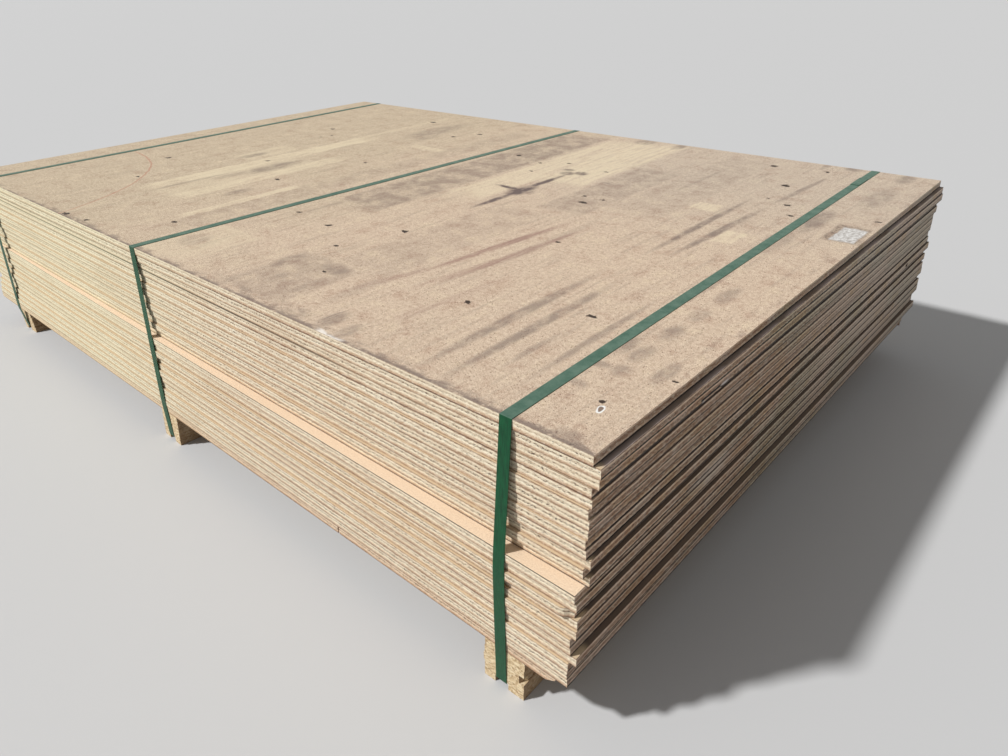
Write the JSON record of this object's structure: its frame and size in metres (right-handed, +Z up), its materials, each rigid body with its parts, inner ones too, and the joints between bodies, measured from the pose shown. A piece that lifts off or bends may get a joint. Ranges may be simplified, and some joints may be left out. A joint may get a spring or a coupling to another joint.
{
  "type": "stack of particleboard sheets",
  "caption": "Strapped pack of raw particleboard sheets lying slightly out of line on built-up bearers that leave room for forks.",
  "frame": {"origin": "on the ground under the middle of the stack's bounding box", "axes": "+X along the sheets towards the end that is stepped back at the bottom, +Y across the sheets away from the stepped long side, +Z up"},
  "size_m": [2.7422, 1.8414, 0.5794],
  "materials": {
    "board": "raw three-layer particleboard, sanded faces, sawn edges",
    "base_board": "raw particleboard with a reddish tint, used as the cover sheet underneath",
    "bearer_board": "coarse raw particleboard strips, sawn",
    "strap": "embossed green polyester strapping"
  },
  "bodies": {
    "root": {"sheet_01": "board", "sheet_02": "board", "sheet_03": "board", "sheet_04": "board", "sheet_05": "board", "sheet_06": "board", "sheet_07": "board", "sheet_08": "board", "sheet_09": "board", "sheet_10": "board", "sheet_11": "board", "sheet_12": "board", "sheet_13": "board", "sheet_14": "board", "sheet_15": "board", "sheet_16": "board", "sheet_17": "board", "sheet_18": "board", "sheet_19": "board", "sheet_20": "board", "sheet_21": "board", "sheet_22": "board", "sheet_23": "board", "sheet_24": "board", "sheet_25": "base_board", "bearer_right_strip_1": "bearer_board", "bearer_right_strip_2": "bearer_board", "bearer_right_strip_3": "bearer_board", "bearer_right_strip_4": "bearer_board", "bearer_right_strip_5": "bearer_board", "bearer_middle_strip_1": "bearer_board", "bearer_middle_strip_2": "bearer_board", "bearer_middle_strip_3": "bearer_board", "bearer_middle_strip_4": "bearer_board", "bearer_middle_strip_5": "bearer_board", "bearer_left_strip_1": "bearer_board", "bearer_left_strip_2": "bearer_board", "bearer_left_strip_3": "bearer_board", "bearer_left_strip_4": "bearer_board", "bearer_left_strip_5": "bearer_board", "strap_right": "strap", "strap_middle": "strap", "strap_left": "strap"}
  },
  "joints": []
}
